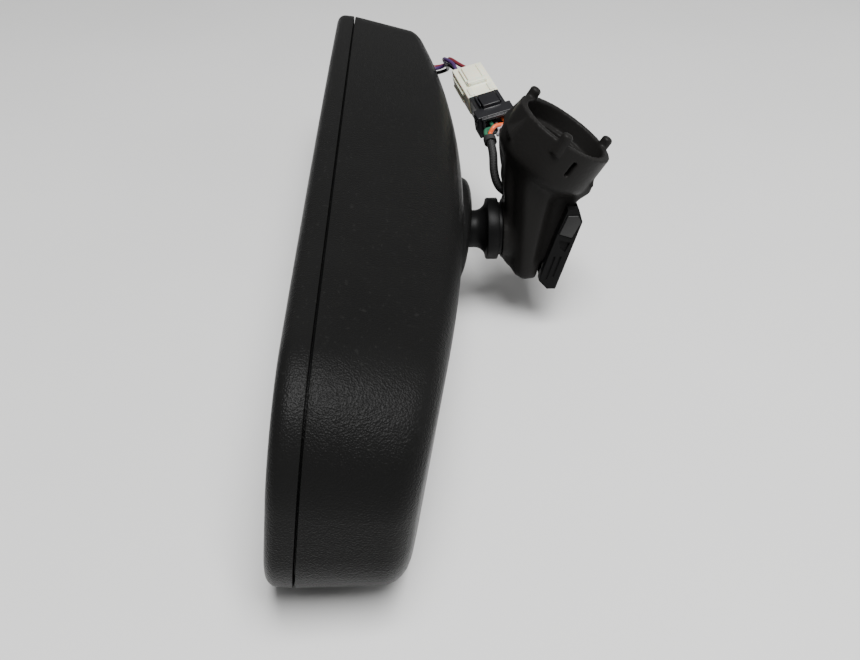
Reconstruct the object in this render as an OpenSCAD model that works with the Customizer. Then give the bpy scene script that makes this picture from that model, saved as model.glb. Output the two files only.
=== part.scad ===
// Interior rearview mirror: a self-dimming head on a ball joint, its windshield
// bracket with a round seat, and the short wiring lead between them.
// Millimetres.  The origin is the centre of the seat's mouth, X runs along the
// head, -Y faces the driver, +Y faces the windshield and Z is up.

/* [Head] */
// Width of the head
head_w = 255; // [210:1:306]
// Height of the head at its middle
head_h = 70; // [60:1:84]
// Depth of the head at its middle
head_d = 44; // [43:0.5:54]
// Depth of the head at its two ends
end_d = 31.5; // [27:0.5:38]
// Radius of the head's corners
corner_r = 26; // [20:1:29]
// Radius of the arched top and bottom edges
crown_r = 2400; // [1600:50:6000]
// Depth of the bezel, from its face to the parting line
bezel_d = 6.5; // [6:0.1:8]
// Draft of the housing's top and bottom walls, in degrees
side_draft = 7.5; // [5:0.5:9]
// Draft of the housing's end walls, in degrees
end_draft = 2.5; // [1:0.5:4]
// Radius of the housing's rear edge
rear_r = 7; // [5:0.5:8.5]
// Wall of the housing and of the bezel
wall = 2.2; // [1.8:0.1:2.7]
// Open groove between the bezel and the housing
parting_gap = 0.4; // [0.2:0.1:0.6]
// How far the head leans back at rest, in degrees
head_lean = 7.5; // [0:0.5:9]

/* [Mirror glass] */
// Width of the bezel's lip, from the head's outline to the visible glass
lip_w = 4.4; // [3.8:0.1:5.5]
// Thickness of the lip in front of the glass
lip_t = 1.3; // [1:0.1:1.6]
// Thickness of each of the two glass plates
glass_t = 1.6; // [1.2:0.1:1.9]
// Thickness of the seal that keeps the plates apart
seal_t = 0.4; // [0.3:0.1:0.6]
// Width of that seal
seal_w = 2.5; // [2:0.1:4]
// Thickness of the foam pad behind the glass
pad_t = 1; // [0.8:0.1:1.5]
// Thickness of the carrier plate
carrier_t = 2; // [1.5:0.1:2.5]

/* [Circuit board] */
// Length of the circuit board
board_l = 92; // [76:1:111]
// Height of the circuit board
board_h = 38; // [32:1:42]
// Thickness of the circuit board
board_t = 1.6; // [1.2:0.1:2]
// Length of the posts that carry the board
standoff = 4; // [3:0.5:5]
// Radius of the two light sensors' windows
eye_r = 3; // [2.5:0.1:3.6]

/* [Ball joint] */
// Radius of the ball
ball_r = 8; // [6.8:0.1:8.5]
// Radius of the stud just behind the ball
throat_r = 4.5; // [3.8:0.1:4.6]
// Radius of the neck
neck_r = 6; // [5:0.1:7]
// Radius of the stud's collar
collar_r = 9.9; // [8.5:0.1:11]
// Width of the stud's collar
collar_t = 3.4; // [2.8:0.1:4]
// Distance from the ball's centre to the collar
neck_l = 17.8; // [17:0.1:21]
// Radius of the stud's shank
shank_r = 4; // [3.3:0.1:4.8]
// Thickness of the two nylon liners around the ball
liner_t = 2; // [1.6:0.1:2.4]
// Clearance between the ball, the liners and their sockets
ball_gap = 0.12; // [0.08:0.01:0.3]
// Distance from the front of the bezel to the ball's centre
ball_depth = 38.2; // [37.5:0.1:40]
// Height of the ball's centre above the head's middle
ball_up = 1; // [-2:0.5:3]
// Largest turn of the head to each side, in degrees
yaw_max = 15; // [8:1:16]
// Largest extra lean of the head towards the windshield, in degrees
pitch_back = 6; // [4:1:7]
// Largest tilt of the head's top towards the driver, in degrees
pitch_down = 18; // [10:1:19]
// Largest roll of the head to each side, in degrees
roll_max = 8; // [4:1:10]
// Radius of the raised ring around the ball joint's opening
ring_r = 17.6; // [16.8:0.1:20]
// How far that ring stands out of the housing
ring_h = 5.2; // [4.6:0.1:6]

/* [Bracket] */
// Tilt of the seat's axis from vertical, which is the windshield's slope
seat_tilt = 31; // [28:1:36]
// Radius of the seat's bore
seat_r = 13.7; // [12.5:0.1:15]
// Depth of the seat's bore
seat_depth = 6; // [5:0.1:7.2]
// Wall of the seat's cup
cup_wall = 2.45; // [2.1:0.05:2.9]
// Length of the cup along its axis
cup_l = 12.5; // [12:0.5:15]
// Horizontal distance from the seat's mouth to the ball's centre
ball_back = 40.5; // [40:0.5:44]
// Vertical distance from the seat's mouth down to the ball's centre
ball_drop = 34.4; // [33:0.2:36]
// Half width of the bracket's column
column_x = 12.3; // [11:0.1:13]
// Half width of the bracket's inner spine
spine_x = 8.6; // [7.6:0.1:9]
// Radius of the three posts on the rim
post_r = 1.75; // [1.5:0.05:2]
// Height of the posts above the rim
post_h = 3; // [2.4:0.1:4]
// Wall of the foot cover's two cheeks
cheek_t = 3.1; // [2.6:0.1:3.6]
// Clearance between the foot cover and the bracket
cover_gap = 0.25; // [0.15:0.05:0.4]

/* [Wiring] */
// Radius of a bare wire
wire_r = 0.7; // [0.55:0.05:0.75]
// Radius of a sleeved wire
sleeve_r = 1.4; // [1.2:0.05:1.6]
// Length of the pale connector
pale_l = 20; // [17:0.5:23]
// Width of the pale connector
pale_w = 11; // [10.5:0.5:13.5]
// Height of the pale connector
pale_h = 7; // [6:0.5:9]
// Length of the dark connector
dark_l = 15; // [13:0.5:17.5]
// Width of the dark connector's flange
dark_w = 13; // [12:0.5:15]
// Height of the dark connector
dark_h = 8; // [7:0.5:10]

/* [Hidden] */

$fn = 64;
overlap = 0.02;
fit_gap = 0.1;

// ---- places shared by several pieces ----

module at_ball() translate([0, -ball_back, -ball_drop]) children();
module in_head() at_ball() rotate([-head_lean, 0, 0]) translate([0, -ball_depth, -ball_up]) children();
module on_seat() rotate([-seat_tilt, 0, 0]) children();

// A shape drawn as [radius, distance] and spun around an axis that points to +Y
module spun_y() rotate([-90, 0, 0]) rotate_extrude() children();
// A profile drawn in Y and Z, and extruded across X by x0 to x1
module across(x0, x1) translate([x0, 0, 0]) rotate([90, 0, 90]) linear_extrude(x1 - x0) children();
// A round bar along +Y
module bar_y(r, length) rotate([-90, 0, 0]) cylinder(r = r, h = length);

// ---- the head's outline, as seen from the driver ----

arc_steps = 8;
crown_steps = 8;
corner_x = head_w / 2 - corner_r;
crown_z = head_h / 2 - crown_r;
corner_z = crown_z + sqrt(pow(crown_r - corner_r, 2) - pow(corner_x, 2));
blend_angle = atan2(corner_z - crown_z, corner_x);

// Upper half of the outline, moved inwards by inset, from the left end to the right
function upper_half(inset) = concat(
    [for (i = [0 : arc_steps - 1]) let (a = 180 - blend_angle * i / arc_steps)
        [-corner_x + (corner_r - inset) * cos(a), corner_z + (corner_r - inset) * sin(a)]],
    [for (i = [0 : crown_steps]) let (a = 180 - blend_angle - (180 - 2 * blend_angle) * i / crown_steps)
        [(crown_r - inset) * cos(a), crown_z + (crown_r - inset) * sin(a)]],
    [for (i = [arc_steps - 1 : -1 : 0]) let (a = blend_angle * i / arc_steps)
        [corner_x + (corner_r - inset) * cos(a), corner_z + (corner_r - inset) * sin(a)]]);

half_n = 2 * arc_steps + crown_steps + 1;
ring_n = 2 * half_n;

function outline(inset) = let (u = upper_half(inset))
    concat(u, [for (i = [half_n - 1 : -1 : 0]) [u[i].x, -u[i].y]]);

// A flat plate with the head's outline, its front face at y0
module plate(inset, y0, thickness)
    translate([0, y0 + thickness, 0]) rotate([90, 0, 0]) linear_extrude(thickness) polygon(outline(inset));

// Triangles between two rings of the outline's points
function band(a, b) = [for (j = [0 : ring_n - 1], k = [0, 1]) let (n = (j + 1) % ring_n)
    k == 0 ? [a + j, b + n, a + n] : [a + j, b + j, b + n]];
// Strips that close a ring from its upper half to its lower half
function closing(a, flip) = [for (j = [0 : half_n - 2])
    let (q = [a + j, a + j + 1, a + ring_n - 2 - j, a + ring_n - 1 - j])
    flip ? [q[3], q[2], q[1], q[0]] : q];

// ---- depths through the head, measured back from the bezel's face ----

glass_y = lip_t;
seal_y = glass_y + glass_t;
rear_glass_y = seal_y + seal_t;
pad_y = rear_glass_y + glass_t;
carrier_y = pad_y + pad_t;
board_y = carrier_y + carrier_t + standoff;
chip_y = board_y + board_t;
part_y = bezel_d + parting_gap;
glass_inset = wall + 0.8;
carrier_inset = wall + 3.2;
board_z = -7;
board_fit_h = min(board_h, head_h - 32);
eye_z = board_z - board_fit_h / 2 + 6;
lens_x = -38;
lens_z = 5;
grommet_x = -93;
grommet_z = head_h / 2 - 15;
grommet_r = 3.6;

// Depth of the housing's back at x
function back_y(x) = end_d + (head_d - end_d) * (1 - pow(2 * x / head_w, 2));

// ---- the bezel and the housing ----

module bezel_ring(profile) {
    n = len(profile);
    points = [for (p = profile, o = outline(p[0])) [o.x, p[1], o.y]];
    polyhedron(points, [for (i = [0 : n - 1], f = band(ring_n * i, ring_n * ((i + 1) % n))) f], 4);
}

tongue_l = 2.6;
module bezel() in_head() color([0.13, 0.13, 0.135])
    bezel_ring([[0, bezel_d], [0, 3.5], [0.25, 2], [1, 0.9], [2.1, 0.25], [3.4, 0],
        [lip_w - 0.4, 0.15], [lip_w, 0.6], [lip_w, lip_t - fit_gap], [glass_inset - 0.3, lip_t - fit_gap],
        [glass_inset - 0.3, carrier_y], [wall + 1.6, carrier_y], [wall + 1.6, bezel_d + tongue_l],
        [wall + 0.7, bezel_d + tongue_l], [wall + 0.7, bezel_d]]);

// One point of the housing's skin: s runs up the side, a runs round the rear edge
function skin_point(p, inset, s, a) =
    let (r = rear_r - inset, edge_y = back_y(p.x) - inset - r, rise = s * (edge_y - part_y))
    [p.x * (1 - (tan(end_draft) * rise + r * (1 - cos(a))) / (head_w / 2)),
     part_y + rise + r * sin(a),
     p.y * (1 - (tan(side_draft) * rise + r * (1 - cos(a))) / (head_h / 2))];
skin_levels = [[0, 0], [0.5, 0], [1, 0], [1, 30], [1, 60], [1, 90]];
function skin(inset) = [for (v = skin_levels, p = outline(inset)) skin_point(p, inset, v[0], v[1])];

module housing_shell() {
    last = len(skin_levels) - 1;
    inner = ring_n * len(skin_levels);
    polyhedron(concat(skin(0), skin(wall)), concat(
        [for (i = [0 : last - 1], f = band(ring_n * (i + 1), ring_n * i)) f],
        [for (i = [0 : last - 1], f = band(inner + ring_n * i, inner + ring_n * (i + 1))) f],
        band(0, inner), closing(ring_n * last, true), closing(inner + ring_n * last, false)), 4);
}

screw_pitch_r = 21;
lean_max = max(head_lean + pitch_back, pitch_down - head_lean);
tilt_max = acos(cos(yaw_max) * cos(lean_max) - sin(yaw_max) * sin(lean_max) * sin(roll_max));
opening_r = neck_r / cos(tilt_max) + (head_d + ring_h - ball_depth) * tan(tilt_max) + 0.4;
snout_r = ball_r + 2 * ball_gap + liner_t + 4.2;
ring_wall = 2.2;
plate_y = ball_depth - 1;
plate_t = 3;

module at_socket_screws() for (a = [45 : 90 : 315])
    translate([screw_pitch_r * cos(a), 0, ball_up + screw_pitch_r * sin(a)]) children();

module rear_housing() in_head() color([0.12, 0.12, 0.125]) difference() {
    union() {
        housing_shell();
        // Raised ring around the opening
        translate([0, 0, ball_up]) spun_y() polygon([[0, head_d - wall - 1], [ring_r + 0.5, head_d - wall - 1],
            [ring_r + 0.5, head_d + 0.6], [ring_r - 0.1, head_d + 0.4 * ring_h],
            [ring_r - 1.1, head_d + 0.72 * ring_h], [ring_r - 2.8, head_d + 0.93 * ring_h],
            [ring_r - 5, head_d + ring_h], [0, head_d + ring_h]]);
        // Bosses for the ball joint's screws
        at_socket_screws() translate([0, plate_y + plate_t, 0])
            bar_y(3.2, back_y(screw_pitch_r) - wall / 2 - plate_y - plate_t);
        // Collar around the wiring's grommet
        translate([grommet_x, back_y(grommet_x) - wall - 2, grommet_z]) bar_y(grommet_r + 1.6, wall + 1);
        // Collar around the ambient light window
        translate([lens_x, back_y(lens_x) - wall - 2, lens_z]) bar_y(eye_r + 2.2, wall + 1);
    }
    translate([0, head_d - wall - 4, ball_up]) bar_y(snout_r + 0.2, wall + 4 + ring_h - ring_wall);
    translate([0, head_d, ball_up]) spun_y()
        polygon([[0, -1], [opening_r - 1.6, -1], [opening_r, ring_h + 1], [0, ring_h + 1]]);
    at_socket_screws() translate([0, plate_y + plate_t - 1, 0]) bar_y(1.15, 3.2);
    translate([grommet_x, back_y(grommet_x) - wall - 4, grommet_z]) bar_y(grommet_r, wall + 8);
    translate([lens_x, back_y(lens_x) - wall - 4, lens_z]) bar_y(eye_r + fit_gap, wall + 8);
}

// ---- glass, carrier and electronics ----

module eye_hole(y0, depth) translate([0, y0 - 1, eye_z]) bar_y(eye_r + 0.5, depth + 2);

module front_glass() in_head() color([0.72, 0.77, 0.8]) plate(glass_inset, glass_y, glass_t);
module rear_glass() in_head() color([0.6, 0.65, 0.7]) plate(glass_inset, rear_glass_y, glass_t);
module glass_seal() in_head() color([0.1, 0.1, 0.1]) difference() {
    plate(glass_inset + 0.3, seal_y, seal_t);
    plate(glass_inset + 0.3 + seal_w, seal_y - 1, seal_t + 2);
}
module foam_pad() in_head() color([0.25, 0.25, 0.27]) difference() {
    plate(glass_inset + 1.5, pad_y, pad_t);
    eye_hole(pad_y, pad_t);
}

rib_h = 2.6;
module at_board_posts() for (x = [-1, 1], z = [-1, 1])
    translate([x * (board_l / 2 - 4), 0, board_z + z * (board_fit_h / 2 - 4)]) children();

module carrier_plate() in_head() color([0.2, 0.2, 0.21]) difference() {
    union() {
        plate(carrier_inset, carrier_y, carrier_t);
        at_board_posts() translate([0, carrier_y + carrier_t - overlap, 0]) bar_y(3, standoff + overlap);
        // Stiffening ribs at both sides of the board
        for (s = [-1, 1], i = [0, 1])
            translate([s * (board_l / 2 + 9 + 16 * i) - 0.8, carrier_y + carrier_t - overlap, -head_h * 0.3])
                cube([1.6, rib_h + overlap, head_h * 0.6]);
    }
    at_board_posts() translate([0, carrier_y + 1, 0]) bar_y(0.9, carrier_t + standoff);
    eye_hole(carrier_y, carrier_t);
}

module circuit_board() in_head() color([0.1, 0.35, 0.2]) difference() {
    translate([-board_l / 2, board_y, board_z - board_fit_h / 2])
        cube([board_l, board_t, board_fit_h]);
    at_board_posts() translate([0, board_y - 1, 0]) bar_y(1.35, board_t + 2);
}
module chip(x, z, size) translate([x - size.x / 2, chip_y, board_z + z - size.z / 2]) cube(size);
module board_chips() in_head() color([0.08, 0.08, 0.08]) {
    chip(-8, -2, [12, 1.6, 12]);
    chip(12, 5, [6, 1.5, 5]);
    chip(22, -7, [9, 2.2, 7]);
    for (i = [0 : 4]) chip(-22 + 7 * i, -13.5, [3.2, 1.2, 1.7]);
    for (i = [0, 1]) translate([33, chip_y, board_z - 6 + 12 * i]) bar_y(3.1, 5.5);
}
header_x = 17 - board_l / 2;
header_z = board_z - 9;
module board_header() in_head() color([0.85, 0.83, 0.75]) difference() {
    chip(header_x, header_z - board_z, [12, 6, 7]);
    translate([header_x - 4.8, chip_y + 1.5, header_z - 2.4]) cube([9.6, 6, 4.8]);
}
module board_screws() in_head() color([0.7, 0.7, 0.72]) at_board_posts() {
    translate([0, chip_y, 0]) bar_y(2.1, 1.4);
    translate([0, carrier_y + 2, 0]) bar_y(0.85, chip_y - carrier_y - 2 + overlap);
}
module glare_sensor() in_head() color([0.15, 0.15, 0.2])
    translate([0, carrier_y + 0.3, eye_z]) union() {
        bar_y(eye_r - 0.6, board_y - carrier_y - 0.3);
        translate([0, carrier_t + 1, 0]) bar_y(eye_r + 0.3, board_y - carrier_y - carrier_t - 1.3);
    }
module ambient_lens() in_head() color([0.75, 0.78, 0.8]) translate([lens_x, 0, lens_z]) union() {
    translate([0, back_y(lens_x) - wall - 2, 0]) bar_y(eye_r, wall + 1.6);
    translate([0, chip_y, 0]) bar_y(1.4, back_y(lens_x) - wall - 2 - chip_y + overlap);
}

// ---- the ball joint ----

liner_in = ball_r + ball_gap;
liner_out = liner_in + liner_t;
socket_in = liner_out + ball_gap;
throat_angle = asin(throat_r / ball_r);
liner_open = throat_angle + yaw_max + 2;
socket_open = throat_angle + tilt_max + 1.5;

// A sector of a spherical shell around the +Y axis, from polar angle a0 to a1
module shell_sector(r0, r1, a0, a1) spun_y() polygon(concat(
    [for (i = [0 : 12]) let (a = a0 + (a1 - a0) * i / 12) [r1 * sin(a), r1 * cos(a)]],
    [for (i = [12 : -1 : 0]) let (a = a0 + (a1 - a0) * i / 12) [r0 * sin(a), r0 * cos(a)]]));

module liner_rear() at_ball() color([0.9, 0.9, 0.86]) shell_sector(liner_in, liner_out, liner_open, 87);
module liner_front() at_ball() color([0.9, 0.9, 0.86]) shell_sector(liner_in, liner_out, 93, 180);

cap_r = liner_out + 3;
cap_front = liner_out + 2.2;
spring_l = 1.6;
tub_wall = 2;
module at_ball_in_head() in_head() translate([0, ball_depth, ball_up]) children();

// Flange with a flat top and bottom, starting at y0
flange_h = head_h - 24;
module flange(y0) translate([0, y0, 0]) intersection() {
    bar_y(screw_pitch_r + 3.4, plate_t);
    translate([-screw_pitch_r - 4, -1, -flange_h / 2]) cube([2 * screw_pitch_r + 8, plate_t + 2, flange_h]);
}

module socket_plate() at_ball_in_head() color([0.55, 0.56, 0.58]) difference() {
    union() {
        translate([0, -1, 0]) bar_y(snout_r, 1 + head_d + ring_h - ring_wall - 0.3 - ball_depth);
        flange(-1);
    }
    sphere(r = socket_in);
    translate([0, -socket_in, 0]) bar_y(socket_in, socket_in);
    spun_y() polygon([[0, 0], [30 * tan(socket_open), 30], [0, 30]]);
    for (a = [45 : 90 : 315]) translate([screw_pitch_r * cos(a), -2, screw_pitch_r * sin(a)])
        bar_y(1.6, plate_t + 2);
}
module pressure_cap() at_ball_in_head() color([0.3, 0.3, 0.32]) difference() {
    translate([0, -cap_front, 0]) bar_y(cap_r, cap_front - 1.4);
    sphere(r = socket_in);
}
module wave_spring() at_ball_in_head() color([0.7, 0.7, 0.72]) translate([0, -cap_front - spring_l, 0])
    difference() {
        bar_y(cap_r - 1, spring_l);
        translate([0, -1, 0]) bar_y(cap_r - 3.5, spring_l + 2);
    }
module spring_housing() at_ball_in_head() color([0.5, 0.5, 0.52]) difference() {
    union() {
        translate([0, -cap_front - spring_l - tub_wall, 0])
            bar_y(cap_r + 0.2 + tub_wall, cap_front + spring_l + tub_wall - 1);
        flange(-1 - plate_t);
    }
    translate([0, -cap_front - spring_l, 0]) bar_y(cap_r + 0.2, cap_front + spring_l);
    translate([0, -cap_front - spring_l - tub_wall - 1, 0]) bar_y(cap_r - 5, tub_wall + 2);
    for (a = [45 : 90 : 315]) translate([screw_pitch_r * cos(a), -2 - plate_t, screw_pitch_r * sin(a)])
        bar_y(1.6, plate_t + 2);
}
module socket_screws() at_ball_in_head() color([0.75, 0.75, 0.77])
    for (a = [45 : 90 : 315]) translate([screw_pitch_r * cos(a), 0, screw_pitch_r * sin(a)]) difference() {
        union() {
            translate([0, -1 - plate_t - 1.8, 0]) bar_y(2.6, 1.8);
            translate([0, -1 - plate_t - overlap, 0]) bar_y(1.1, 2 * plate_t + 2);
        }
        translate([0, -1 - plate_t - 2, 0]) rotate([-90, 0, 0]) cylinder(r = 1.2, h = 1.2, $fn = 6);
    }

// Concave flare from the neck to the collar
flare_r = collar_r - neck_r - 0.2;
module ball_stud() at_ball() color([0.14, 0.14, 0.145]) union() {
    sphere(r = ball_r);
    spun_y() polygon(concat(
        [[0, 0], [throat_r, 0], [throat_r, ball_r - 1], [neck_r, ball_r + 2.4]],
        [for (i = [0 : 6]) let (a = 15 * i)
            [neck_r + flare_r * (1 - cos(a)), neck_l - 0.3 - flare_r + flare_r * sin(a)]],
        [[collar_r, neck_l], [collar_r, neck_l + collar_t], [shank_r, neck_l + collar_t],
         [shank_r, shank_end], [0, shank_end]]));
}

washer_t = 1.2;
boss_y = -ball_back + neck_l + collar_t + washer_t;
boss_r = collar_r - 0.5;
nut_h = 3.2;
nut_r = shank_r + 3;
pocket_y = boss_y + 6.5;
shank_end = pocket_y + ball_back + nut_h + 0.8;
module stud_washer() at_ball() color([0.45, 0.45, 0.46])
    translate([0, neck_l + collar_t, 0]) difference() {
        bar_y(boss_r, washer_t);
        translate([0, -1, 0]) bar_y(shank_r + 0.05, washer_t + 2);
    }
module stud_nut() translate([0, pocket_y, -ball_drop]) color([0.7, 0.7, 0.72]) difference() {
    rotate([-90, 30, 0]) cylinder(r = nut_r, h = nut_h, $fn = 6);
    translate([0, -1, 0]) bar_y(shank_r + 0.05, nut_h + 2);
}

// ---- the bracket ----

cup_r = seat_r + cup_wall;
post_pitch_r = seat_r + post_r + 0.05;
spring_pocket_r = seat_r - 1.7;
spring_pocket_l = 4.6;
skirt_l = 8;
slot_w = 1.4;
slot_l = 5;
bottom_z = -ball_drop - 12.4;
foot_bottom_z = bottom_z - 3.5;
foot_x = spine_x + cover_gap + cheek_t;
sleeve_hole_r = sleeve_r + 0.3;
foot_screw_z = bottom_z + 8.5;
foot_screw_x = 7.3;
screw_r = 1;
module at_foot_screws() for (s = [-1, 1]) translate([s * foot_screw_x, 0, foot_screw_z]) children();

module rim_post(a) rotate([0, 0, a]) translate([post_pitch_r, 0, 0]) union() {
    translate([0, 0, -4]) cylinder(r = post_r, h = 4 + post_h - 0.6);
    translate([0, 0, post_h - 0.6]) cylinder(r1 = post_r, r2 = post_r - 0.6, h = 0.6);
}

module mount_bracket() color([0.22, 0.22, 0.22]) difference() {
    union() {
        on_seat() translate([0, 0, -cup_l]) cylinder(r = cup_r, h = cup_l);
        on_seat() for (a = [-15, 105, 225]) rim_post(a);
        // Cone that blends the cup into the column
        on_seat() translate([0, 0, -cup_l - skirt_l])
            cylinder(r1 = cup_r - skirt_l, r2 = cup_r, h = skirt_l + overlap);
        // Column, with its near and far edges chamfered
        across(-column_x + 2, column_x - 2) polygon([[-15.6, -6], [-14.4, bottom_z], [-9.5, bottom_z - 0.4],
            [-7, bottom_z + 4.6], [-5.4, -30], [-3, -13]]);
        across(-column_x, column_x) polygon([[-13.8, -10], [-12.6, bottom_z], [-9.8, bottom_z],
            [-8.4, bottom_z + 5], [-7, -30], [-4.6, -13]]);
        // Web between the ball stud and the cup, with the sloping shoulder on top
        across(-7.5, 7.5) polygon([[-12.3, 7.4], [-18.2, 1.4], [boss_y - 0.4, -18], [boss_y + 0.6, -24],
            [boss_y + 0.9, bottom_z + 3], [-14, bottom_z + 0.8], [-8, bottom_z + 0.8], [-6, -12]]);
        translate([0, boss_y, -ball_drop]) bar_y(boss_r, -12 - boss_y);
        // Toe that closes the column's lower end against the foot cover
        across(1 - column_x, column_x - 1) polygon([[-12.7, bottom_z + 6], [-12.7, bottom_z], [-10.5, bottom_z - 1],
            [-6.7, bottom_z - 0.8], [-6, bottom_z + 5]]);
        // Spine that carries the foot cover
        across(-spine_x, spine_x) polygon([[-10, -13], [-10, bottom_z + 4], [-2.7, bottom_z + 4],
            [2.3, -25.2], [4.6, -20.6], [8.4, -18.2], [8.4, -12], [0, -8]]);
    }
    on_seat() {
        translate([0, 0, -seat_depth]) cylinder(r = seat_r, h = seat_depth + 6);
        translate([0, 0, -seat_depth - spring_pocket_l])
            cylinder(r = spring_pocket_r, h = spring_pocket_l + 1);
        // Hole in the cup's floor for the vehicle's plug
        translate([0, 0, -cup_l - 2]) cylinder(r = 4.5, h = cup_l);
        // Narrow slot through the near wall
        rotate([0, 0, 9]) translate([seat_r - 1, -slot_w / 2, -3 - slot_l]) cube([6, slot_w, slot_l]);
    }
    // Bore for the stud's shank, and the room for its nut
    translate([0, boss_y - 1, -ball_drop]) bar_y(shank_r + 0.05, 10);
    translate([-nut_r * cos(30) - fit_gap, pocket_y, -ball_drop - nut_r - 0.3])
        cube([2 * (nut_r * cos(30) + fit_gap), 12, 2 * nut_r + 0.6]);
    at_foot_screws() translate([0, -8, 0]) bar_y(screw_r + fit_gap, 12);
    sleeve_hole(sleeve_long_route);
    sleeve_hole(sleeve_short_route);
}

// Two arched leaves that press the windshield button against the seat
module seat_spring() on_seat() color([0.5, 0.5, 0.5]) translate([0, 0, -seat_depth - spring_pocket_l]) {
    difference() {
        cylinder(r = spring_pocket_r - fit_gap, h = 0.8);
        translate([0, 0, -1]) cylinder(r = spring_pocket_r - 3, h = 3);
    }
    for (s = [-1, 1]) translate([s * (spring_pocket_r - 4.6), 0, 0]) difference() {
        intersection() {
            translate([-1.6, 0, -spring_pocket_r]) rotate([0, 90, 0]) cylinder(r = 16.2, h = 3.2);
            translate([-2, -0.6 * spring_pocket_r, 0.8]) cube([4, 1.2 * spring_pocket_r, spring_pocket_l]);
        }
        translate([-2.6, 0, -spring_pocket_r]) rotate([0, 90, 0]) cylinder(r = 15.3, h = 5.2);
    }
}

module foot_profile() polygon([[-6.2, bottom_z - 0.3], [-3.4, foot_bottom_z], [-0.6, foot_bottom_z],
    [5.7, -25.6], [4.4, -21.8], [0.9, -21.4], [-2, -31], [-4.4, -40]]);
module clip_profile() polygon([[0.9, -23.4], [-1.3, -29.8], [2.9, -31.2], [5.3, -25.6], [4.2, -23.4]]);

module foot_cover() color([0.1, 0.1, 0.105]) difference() {
    across(-foot_x, foot_x) foot_profile();
    across(-spine_x - cover_gap, spine_x + cover_gap) polygon([[-12, bottom_z - 0.9],
        [-3.3, bottom_z - 0.9], [3.2, -25.2], [5, -21], [5, -18], [-12, -18]]);
    for (s = [-1, 1]) {
        // Pocket for the clip, the notch below it and two grooves
        across(s * foot_x - 1.6, s * foot_x + 1.6) offset(delta = fit_gap) clip_profile();
        across(s * foot_x - 0.8, s * foot_x + 0.8) polygon([[-0.9, -32], [2.6, -33], [1.2, -36.6], [-0.4, -35]]);
        for (i = [0, 1]) translate([0, -2.6 + 1.9 * i, -41]) rotate([-14, 0, 0])
            translate([s * foot_x - 0.6, -0.35, -6 + i]) cube([1.2, 0.7, 9 - i]);
    }
    at_foot_screws() {
        translate([0, -6, 0]) bar_y(screw_r + fit_gap, 12);
        translate([0, 0.9, 0]) bar_y(2 * screw_r + fit_gap, 6);
    }
}
module cover_clips() color([0.03, 0.03, 0.03]) for (s = [-1, 1])
    across(min(s * (foot_x - 1.5), s * (foot_x + 0.3)), max(s * (foot_x - 1.5), s * (foot_x + 0.3)))
        clip_profile();
module foot_screws() color([0.6, 0.6, 0.62]) at_foot_screws() union() {
    translate([0, 1, 0]) bar_y(2 * screw_r, 1.3);
    translate([0, -7.5, 0]) bar_y(screw_r, 8.5 + overlap);
}

// ---- wiring ----

// A vector turned about X, then Y, then Z, and a point of the head at rest
function turned(p, r) = let (
    a = [p.x, p.y * cos(r.x) - p.z * sin(r.x), p.y * sin(r.x) + p.z * cos(r.x)],
    b = [a.x * cos(r.y) + a.z * sin(r.y), a.y, a.z * cos(r.y) - a.x * sin(r.y)])
    [b.x * cos(r.z) - b.y * sin(r.z), b.x * sin(r.z) + b.y * cos(r.z), b.z];
function head_point(p) = [0, -ball_back, -ball_drop] + turned(p - [0, ball_depth, ball_up], [-head_lean, 0, 0]);

// The two connectors share one axis, and the dark one's nose sits in the pale one's mouth
plug_turn = [12, 8, 14];
pale_at = [-54.5, -23, -8.6];
nose_l = 2.8;
wire_gap = 2.3;
function pale_point(p) = pale_at + turned(p, plug_turn);
function dark_point(p) = pale_point(p + [(pale_l + dark_l) / 2, 0, 0]);

// The lead leaves the head at the grommet: each row is a point and its heading
lead_path = [
    for (d = [-2, 3]) concat(head_point([grommet_x, back_y(grommet_x) + d, grommet_z]), [0]),
    [-91.2, -31.6, -13.8, 45], [-86.5, -32, -10.2, 88], [-80, -31.4, -8, 84], [-73.5, -29.2, -7.3, 74]];
lead_pitch = wire_r + 0.25;
function lead_route(side, up) = concat(
    [for (q = lead_path) [q.x - side * cos(q[3]), q.y + side * sin(q[3]), q.z + up]],
    [for (x = [-2, 2.5]) pale_point([x - pale_l / 2, 2.2 * side - 1, 0.6 * up])]);

sleeve_long_route = [[-1, -15, -23.2], [-4.6, -18.7, -21.6], [-9, -20, -18.9], [-14.5, -20, -15.6],
    [-18.5, -20.3, -13.9], [-22, -20.8, -12.7]];
sleeve_short_route = [[-2, -14.5, -18.8], [-8.8, -16.2, -17.2], [-15, -16.6, -14.4], [-19.5, -16.4, -12.4],
    [-23.5, -16, -11]];
function tip(p) = p[len(p) - 1];
function tip_way(p) = unit(tip(p) - p[len(p) - 2]);
// One loom wire, from its place in the dark connector to the end of a sleeve
function loom_route(y, z, bend, sleeve, side) = [
    for (x = [-2.5, 1.5]) dark_point([dark_l / 2 + x, y, z]), bend,
    for (d = [1.8, 0.6]) tip(sleeve) + d * tip_way(sleeve) + side * [0, wire_r + 0.05, 0]];

function unit(v) = v / norm(v);
function smooth(p, i, t) = let (a = p[max(i - 1, 0)], b = p[i], c = p[i + 1], d = p[min(i + 2, len(p) - 1)])
    0.5 * (2 * b + (c - a) * t + (2 * a - 5 * b + 4 * c - d) * t * t + (3 * b - a - 3 * c + d) * t * t * t);
function route(p) = concat([for (i = [0 : len(p) - 2], t = [0, 0.5]) smooth(p, i, t)], [p[len(p) - 1]]);

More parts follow.
